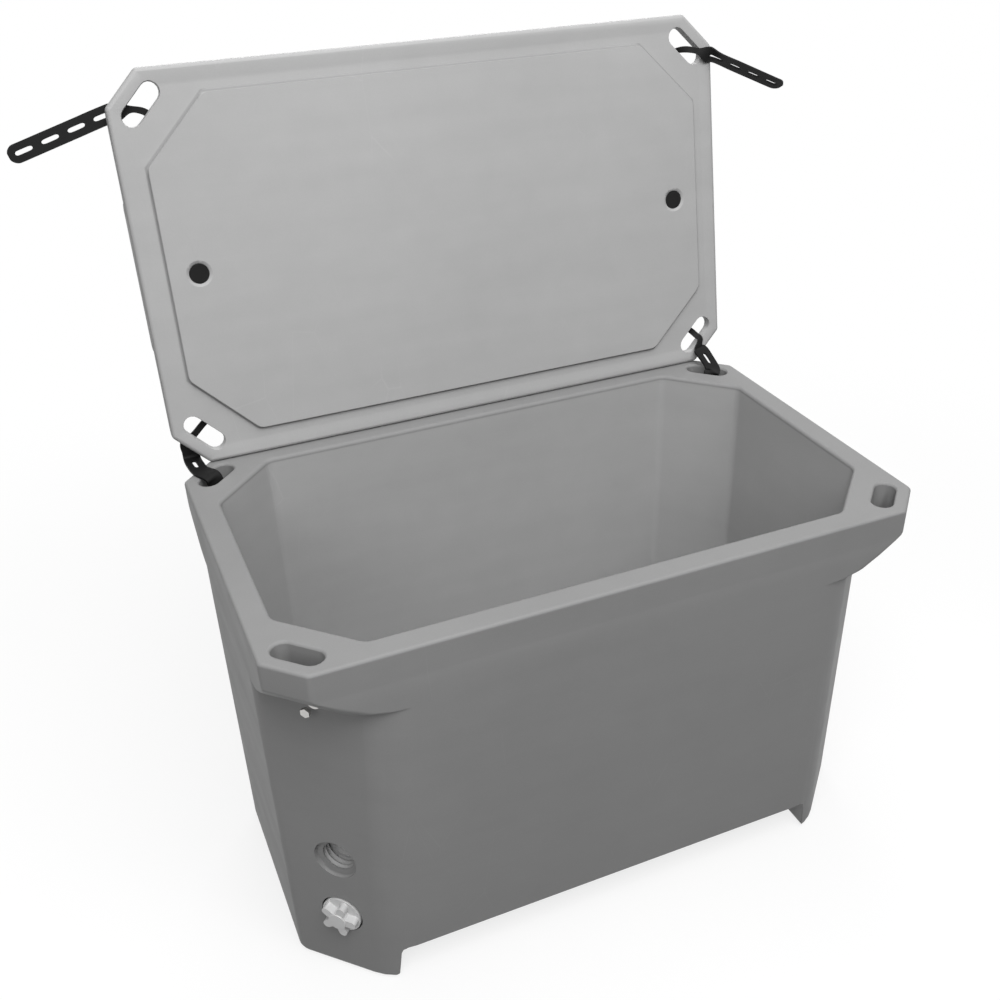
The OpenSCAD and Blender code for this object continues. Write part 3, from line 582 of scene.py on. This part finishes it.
def bolts():
    head, shank = hex_head(HEAD_R, HEAD_H), threaded_shank(SHANK_R, PITCH, TURNS)
    pick_only(head)
    shank.select_set(True)
    bpy.ops.object.join()
    head.name = "bolt_pattern"
    bpy.ops.object.mode_set(mode="EDIT")
    bpy.ops.mesh.select_all(action="SELECT")
    bpy.ops.mesh.normals_make_consistent(inside=False)
    bpy.ops.object.mode_set(mode="OBJECT")
    for front, sy in (("front", -1), ("rear", 1)):
        for hand, sx in (("left", -1), ("right", 1)):
            out = Vector((sx, sy, 0)).normalized()
            foot = corner_point(sx, sy, BODY_REACH, BOLT_ALONG, BOLT_Z) + out * WALL_STAND_OFF
            set_bolt(head, f"bolt_on_tub_{front}_{hand}", f"tub_bolt_{front}_{hand}", "tub", foot, out,
                     Vector((0, 0, -1)))
            foot = opened(corner_point(sx, sy, ANCHOR_REACH, 0, LANDING_Z + LID_STAND_OFF))
            set_bolt(head, f"bolt_on_lid_{front}_{hand}", f"lid_bolt_{front}_{hand}", "lid", foot, LID_FACE,
                     Vector((1, 0, 0)))
    bpy.data.objects.remove(head)


def set_bolt(pattern, name, node, body, foot, out, corner):
    """A copy of the bolt with its head's underside at foot, and a corner of the hexagon towards corner."""
    piece = bpy.data.objects.new(name, pattern.data.copy())
    bpy.context.scene.collection.objects.link(piece)
    side = corner.cross(out)
    turn = Matrix((side, corner, out)).transposed().to_4x4()
    piece.data.transform(Matrix.Scale(MM, 4) @ Matrix.Translation(foot) @ turn)
    smooth(piece, 30)
    finish_with(piece, steel)
    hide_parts(node)
    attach(piece, body)


# Straps: a stop on a strap's route is its place, the way the strap faces there, its width, and whether
# a slot has its middle there
def on_lid(sx, sy, out, along, up, width, slot=False):
    place = opened(corner_point(sx, sy, ANCHOR_REACH + out, along, LANDING_Z + up))
    return place, LID_FACE, width, slot


def in_ear(sx, out, along, z, face, slot=False):
    return corner_point(sx, 1, EAR_MID + out, along, z), Vector(face), STRAP_W, slot


def at_rim(place, face, width, slot=False):
    return Vector(place), Vector(face), width, slot


def front_left_route():
    stops = [on_lid(-1, -1, out, along, LIFT, NECK_W) for out, along in ((0, 0), (14, 2), (28, 5), (42, 14))]
    stops += [on_lid(-1, -1, 54, 28, LIFT, STRAP_W)]
    stops += [on_lid(-1, -1, 66 + 19 * k, 46 + 35 * k, LIFT + 1 + 1.7 * k, STRAP_W, True) for k in range(4)]
    return stops + [on_lid(-1, -1, 128, 160, LIFT + 6, STRAP_W)]


def through_lid_slot(sx, sy, lean, waist=NECK_W):
    return [on_lid(sx, sy, 0, 0, LIFT, NECK_W),
            on_lid(sx, sy, 12, lean * 2, LIFT, NECK_W),
            on_lid(sx, sy, SLOT_LIP, lean * 3, LIFT - 1.2, waist),
            on_lid(sx, sy, SLOT_MID - 5, 2, UNDER / 2, NECK_W)]


def twisted(stop, degrees):
    """A stop of the front right strap, turned about the strap's own length."""
    place, face, width, slot = stop
    run = opened(corner_point(1, -1, 14, 37, 0)) - opened(corner_point(1, -1, 0, 0, 0))
    return place, Matrix.Rotation(math.radians(degrees), 3, run) @ face, width, slot


def front_right_route():
    stops = through_lid_slot(1, -1, -1, waist=NECK_W - 2.8)
    stops += [on_lid(1, -1, SLOT_MID + 2, 11, UNDER + 1, NECK_W),
              on_lid(1, -1, SLOT_MID + 9, 24, UNDER - STRAP_T + 0.5, NECK_W),
              twisted(on_lid(1, -1, SLOT_MID + 14, 37, UNDER - STRAP_T - 5, STRAP_W), 26)]
    low, twist = UNDER - STRAP_T - 9.5, 65
    stops += [twisted(on_lid(1, -1, SLOT_MID + 20 + 14 * k, 53 + 37 * k, low, STRAP_W, True), twist)
              for k in range(4)]
    return stops + [twisted(on_lid(1, -1, SLOT_MID + 66, 174, low, STRAP_W), twist)]


def into_ear(sx):
    return [in_ear(sx, 2, 10, TUB_H + 2.6, (0, 0.3, -1)),
            in_ear(sx, -3, 9, TUB_H - 7, (sx * 0.15, 0.8, -0.6)),
            in_ear(sx, -6, 9, TUB_H - 25, (sx * 0.3, 1, -0.1), True),
            in_ear(sx, -8, 9, TUB_H - 50, (sx * 0.6, 1, 0)),
            at_rim(corner_point(sx, 1, STRAP_REACH + 3, BOLT_ALONG + 2, BOLT_Z + SLOT_RUN + 23),
                   (sx * 0.9, 1, 0), STRAP_W, True),
            at_rim(corner_point(sx, 1, STRAP_REACH, BOLT_ALONG, BOLT_Z + SLOT_RUN), (sx, 1, 0),
                   STRAP_W, True),
            at_rim(corner_point(sx, 1, STRAP_REACH, BOLT_ALONG, BOLT_Z - 2), (sx, 1, 0), STRAP_W)]


def rear_left_route():
    stops = [on_lid(-1, 1, out, along, LIFT, NECK_W)
             for out, along in ((0, 0), (14, 3), (28, 5), (44, 6))]
    return stops + [on_lid(-1, 1, 57, 7, LIFT, NECK_W + 2),
                    on_lid(-1, 1, 66, 6, LIFT + 0.5, STRAP_W),
                    at_rim((REAR_LEFT_X, HINGE_Y + 19.6, TUB_H + 17), (0, 1, -0.1), STRAP_W),
                    at_rim((REAR_LEFT_X, HINGE_Y + 17.3, TUB_H + 7.5), (0, 0.8, -0.6), STRAP_W),
                    at_rim((REAR_LEFT_X, HINGE_Y + 10.5, TUB_H + 3.8), (0, 0.2, -1), STRAP_W),
                    at_rim((REAR_LEFT_X + 1, HINGE_Y - 6, TUB_H + 3.6), (0, 0, -1), STRAP_W, True),
                    at_rim((REAR_LEFT_X + 5, HINGE_Y - 30, TUB_H + 3.4), (0, 0.1, -1), STRAP_W)
                    ] + into_ear(-1)


def rear_right_route():
    stops = through_lid_slot(1, 1, 1)
    return stops + [on_lid(1, 1, SLOT_MID + 2, 0, UNDER + 1, NECK_W),
                    on_lid(1, 1, SLOT_MID + 11, -1, UNDER - 3.5, NECK_W),
                    at_rim((REAR_RIGHT_X - 1, HINGE_Y - 6.5, TUB_H + 32), (0, 1, -0.3), NECK_W),
                    at_rim((REAR_RIGHT_X, HINGE_Y - 9, TUB_H + 26), (0, 0.9, -0.5), STRAP_W),
                    at_rim((REAR_RIGHT_X + 3, HINGE_Y - 30, TUB_H + 13.5), (0, 0.5, -0.87), STRAP_W, True)
                    ] + into_ear(1)


class Route:
    """A smooth way through a strap's stops, measured by the length along it."""

    def __init__(self, stops, steps=10):
        self.marks = []
        self.slots = []
        length = 0.0
        last = None
        for k in range(len(stops) - 1):
            a, b, c, d = (stops[max(0, min(len(stops) - 1, k + i))] for i in (-1, 0, 1, 2))
            for j in range(steps):
                u = j / steps
                place, face, width = (self.glide(a[i], b[i], c[i], d[i], u) for i in range(3))
                if last is not None:
                    length += (place - last).length
                if j == 0 and stops[k][3]:
                    self.slots.append(length)
                last = place
                self.marks.append((length, place, face, width))
        place, face, width, slot = stops[-1]
        length += (place - last).length
        if slot:
            self.slots.append(length)
        self.marks.append((length, place, face, width))
        self.length = length

    @staticmethod
    def glide(a, b, c, d, u):
        """A smooth curve from b to c, led on by a and d."""
        return 0.5 * (2 * b + (c - a) * u + (2 * a - 5 * b + 4 * c - d) * u * u
                      + (3 * b - a - 3 * c + d) * u ** 3)

    def mark(self, length):
        """Place, face direction and width at a length, run on straight past both ends."""
        k = 0
        while k < len(self.marks) - 2 and self.marks[k + 1][0] <= length:
            k += 1
        low, high = self.marks[k], self.marks[k + 1]
        u = (length - low[0]) / max(1e-6, high[0] - low[0])
        width = low[3] + (high[3] - low[3]) * max(0.0, min(1.0, u))
        return low[1].lerp(high[1], u), low[2].lerp(high[2], max(0.0, min(1.0, u))), width

    def lay(self, flat):
        """From the flat strap (across, along, through) to its place."""
        place, face, _ = self.mark(flat.y)
        t = (self.mark(flat.y + 1.5)[0] - self.mark(flat.y - 1.5)[0]).normalized()
        side = face.cross(t).normalized()
        return place + side * flat.x + t.cross(side) * flat.z


def strap(name, node, stops):
    """A flat strap: a row of strips extruded along it, slots cut out, thickened and laid along its route."""
    route = Route(stops)
    tip = STRAP_W / 2
    rows = [EYE_R * share for share in (-1, -0.87, -0.5, 0.5, 0.87)] + [-HOLE_HALF, HOLE_HALF]
    for slot in route.slots:
        rows += [slot + SLOT_L / 2 * share for share in (-1, -0.8, -0.4, 0, 0.4, 0.8, 1)]
    rows += [route.length + tip * share for share in (0, 0.35, 0.6, 0.8, 0.93)]
    filled = []
    for row in sorted(rows):
        while filled and row - filled[-1] > ROW_STEP:
            filled.append(filled[-1] + (row - filled[-1]) / math.ceil((row - filled[-1]) / ROW_STEP))
        filled.append(row)

    def half_width(row):
        if row < EYE_R:
            return max(math.sqrt(max(0.0, EYE_R ** 2 - row ** 2)), NECK_W / 2 if row > 0 else 4.0)
        if row > route.length:
            return tip * math.sqrt(max(0.0, 1 - ((row - route.length) / tip) ** 2))
        return route.mark(row)[2] / 2

    bpy.ops.object.select_all(action="DESELECT")
    bpy.ops.mesh.primitive_grid_add(x_subdivisions=3, y_subdivisions=1, size=1, location=(0, 0, 0))
    piece = bpy.context.object
    piece.name = name
    bpy.ops.object.mode_set(mode="EDIT")
    bpy.ops.transform.resize(value=(2 * half_width(filled[0]), filled[1] - filled[0], 1),
                             center_override=(0, 0, 0))
    bpy.ops.transform.translate(value=(0, (filled[0] + filled[1]) / 2, 0))
    pick_row(piece, filled[1])
    widen(piece, half_width(filled[0]), half_width(filled[1]), filled[1])
    for before, row in zip(filled[1:], filled[2:]):
        bpy.ops.mesh.extrude_region_move(TRANSFORM_OT_translate={"value": (0, row - before, 0)})
        widen(piece, half_width(before), half_width(row), row)
    bpy.ops.object.mode_set(mode="OBJECT")
    slots = [(slot - SLOT_L / 2, slot + SLOT_L / 2) for slot in route.slots]
    shape_middle(piece, slots)
    slots.append((-HOLE_HALF, HOLE_HALF))
    drop_faces(piece, lambda p: abs(p.x) < SLOT_HALF / 2 and any(low < p.y < high for low, high in slots))
    finish_modifier(piece, "rounded outline", "SUBSURF", levels=2, render_levels=2)
    finish_modifier(piece, "thickness", "SOLIDIFY", thickness=STRAP_T, offset=0.0)
    finish_modifier(piece, "soft edges", "BEVEL", width=0.8, segments=2, limit_method="ANGLE",
                    angle_limit=math.radians(50))
    for vertex in piece.data.vertices:
        vertex.co = route.lay(vertex.co) * MM
    piece.data.update()
    smooth(piece, 45)
    finish_with(piece, rubber)
    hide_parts(node)
    return piece


def pick_row(piece, row):
    """Picks the vertices of a flat strap that lie on one row, in edit mode."""
    bpy.ops.mesh.select_mode(type="VERT")
    bpy.ops.mesh.select_all(action="DESELECT")
    bpy.ops.object.mode_set(mode="OBJECT")
    for vertex in piece.data.vertices:
        vertex.select = abs(vertex.co.y - row) < 1e-4
    bpy.ops.object.mode_set(mode="EDIT")


def widen(piece, before, after, row):
    if abs(after - before) > 1e-6:
        bpy.ops.transform.resize(value=(after / before, 1, 1), center_override=(0, row, 0))


def shape_middle(piece, slots):
    """The strips beside the slots keep their width where there is room, and the slots end in a round."""
    rows = {}
    for vertex in piece.data.vertices:
        rows.setdefault(round(vertex.co.y, 3), []).append(vertex)
    for along, row in rows.items():
        wide = max(abs(v.co.x) for v in row)
        reach = min(SLOT_HALF, wide * 0.45)
        for low, high in slots:
            if low - 0.01 < along < high + 0.01:
                into_end = max(0.0, abs(along - (low + high) / 2) / (high - low) - 0.36) / 0.14
                reach *= max(0.45, math.sqrt(max(0.0, 1 - into_end ** 2)))
        for vertex in row:
            if abs(vertex.co.x) < wide * 0.9:
                vertex.co.x = math.copysign(reach, vertex.co.x)
    piece.data.update()


def drop_faces(piece, wanted):
    pick_faces(piece, lambda face: wanted(face.center))
    bpy.ops.mesh.delete(type="FACE")
    bpy.ops.object.mode_set(mode="OBJECT")


def straps():
    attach(strap("strap_on_front_left", "strap_front_left", front_left_route()), "front_strap_left")
    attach(strap("strap_on_front_right", "strap_front_right", front_right_route()), "front_strap_right")
    for side, route, x in (("left", rear_left_route(), REAR_LEFT_X),
                           ("right", rear_right_route(), REAR_RIGHT_X)):
        piece = strap(f"strap_on_rear_{side}", f"strap_rear_{side}", route)
        x * MM
        x * MM
        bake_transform(piece)


# CAD nodes that keep their shape
def carried_over():
    for name, material in (("tub_foam", foam), ("tub_inserts", brass), ("lid_inserts", brass),
                           ("bung_gasket", gasket_rubber), ("tub_plug_left", cap_plastic),
                           ("tub_plug_right", cap_plastic)):
        materials = frame["nodes"][name].data.materials
        materials.clear()
        materials.append(material)


# Stage: a pale floor that goes over into white, soft light from above, the photograph's camera
def floor():
    bpy.ops.object.select_all(action="DESELECT")
    bpy.ops.mesh.primitive_circle_add(vertices=96, radius=40, fill_type="NGON", location=(0, 0, -0.3 * MM))
    ground = bpy.context.object
    ground.name = "studio_floor"
    f = Finish("studio floor", Roughness=0.9, Specular_IOR_Level=0.0)
    straight, glossy, clear = (f.node("ShaderNodeLightPath", {}, {}, f"Is {ray} Ray")
                               for ray in ("Camera", "Glossy", "Transmission"))
    seen = f.maths("MAXIMUM", straight, f.maths("MAXIMUM", glossy, clear))
    far = f.step(f.node("ShaderNodeVectorMath", {"operation": "LENGTH"}, {0: f.place}, "Value"), 0.7, 2.2)
    f.feed(Base_Color=f.grey(0.20 + seen * 0.72))
    white = f.node("ShaderNodeEmission", {}, {"Color": (1, 1, 1, 1), "Strength": 1.0})
    mix = f.node("ShaderNodeMixShader", {},
                 {0: seen * (0.78 + far * 0.22), 1: Wire(f, f.shader.outputs[0]), 2: white})
    f.tree.links.new(mix.socket, f.tree.nodes["Material Output"].inputs["Surface"])
    ground.data.materials.append(f.material)


def world(ambient):
    sky = bpy.data.worlds.new("studio")
    bpy.context.scene.world = sky
    sky.use_nodes = True
    tree = sky.node_tree
    back = tree.nodes["Background"]
    path = tree.nodes.new("ShaderNodeLightPath")
    seen = None
    for ray in ("Is Camera Ray", "Is Glossy Ray", "Is Transmission Ray"):
        if seen is None:
            seen = path.outputs[ray]
        else:
            most = tree.nodes.new("ShaderNodeMath")
            most.operation = "MAXIMUM"
            tree.links.new(seen, most.inputs[0])
            tree.links.new(path.outputs[ray], most.inputs[1])
            seen = most.outputs[0]
    level = tree.nodes.new("ShaderNodeMapRange")
    tree.links.new(seen, level.inputs["Value"])
    level.inputs["To Min"].default_value = ambient
    level.inputs["To Max"].default_value = 1.0
    tree.links.new(level.outputs[0], back.inputs["Strength"])
    back.inputs["Color"].default_value = (1, 1, 1, 1)


def softbox(name, at, towards, size, power):
    lamp = bpy.data.lights.new(name, "AREA")
    lamp.shape = "RECTANGLE"
    lamp.size, lamp.size_y = size
    lamp.energy = power
    box = bpy.data.objects.new(name, lamp)
    bpy.context.scene.collection.objects.link(box)
    box.location = at
    box.rotation_mode = "QUATERNION"
    box.rotation_quaternion = (Vector(towards) - Vector(at)).to_track_quat("-Z", "Y")


def camera():
    lens = bpy.data.cameras.new("camera")
    lens.sensor_width = 36
    lens.lens = 42.05
    lens.clip_start, lens.clip_end = 0.05, 200
    stand = bpy.data.objects.new("camera", lens)
    bpy.context.scene.collection.objects.link(stand)
    right = Vector((0.91847, -0.39490, -0.02169))
    up = Vector((0.22032, 0.46535, 0.85727))
    back = right.cross(up)
    turn = Matrix((right, up, back)).transposed().to_4x4()
    stand.matrix_world = Matrix.Translation((-0.6517, -1.4055, 1.537)) @ turn
    bpy.context.scene.camera = stand


camera()
tub_moulding()
lid_moulding()
lid_fillings()
bung()
bolts()
washers()
straps()
carried_over()
floor()
world(0.12)
softbox("main softbox", (0.0, -1.8, 3.2), (0.0, 0.0, 0.5), (3.0, 1.6), 94)
softbox("overhead softbox", (0.0, 0.0, 3.6), (0.0, 0.0, 0.5), (3.0, 2.2), 40)
softbox("left softbox", (-2.0, -2.4, 2.2), (0.0, 0.0, 0.5), (1.6, 1.6), 28)
softbox("rear softbox", (0.6, 2.8, 2.2), (0.0, 0.0, 0.6), (2.4, 1.6), 45)
bpy.context.scene.view_settings.view_transform = "Standard"
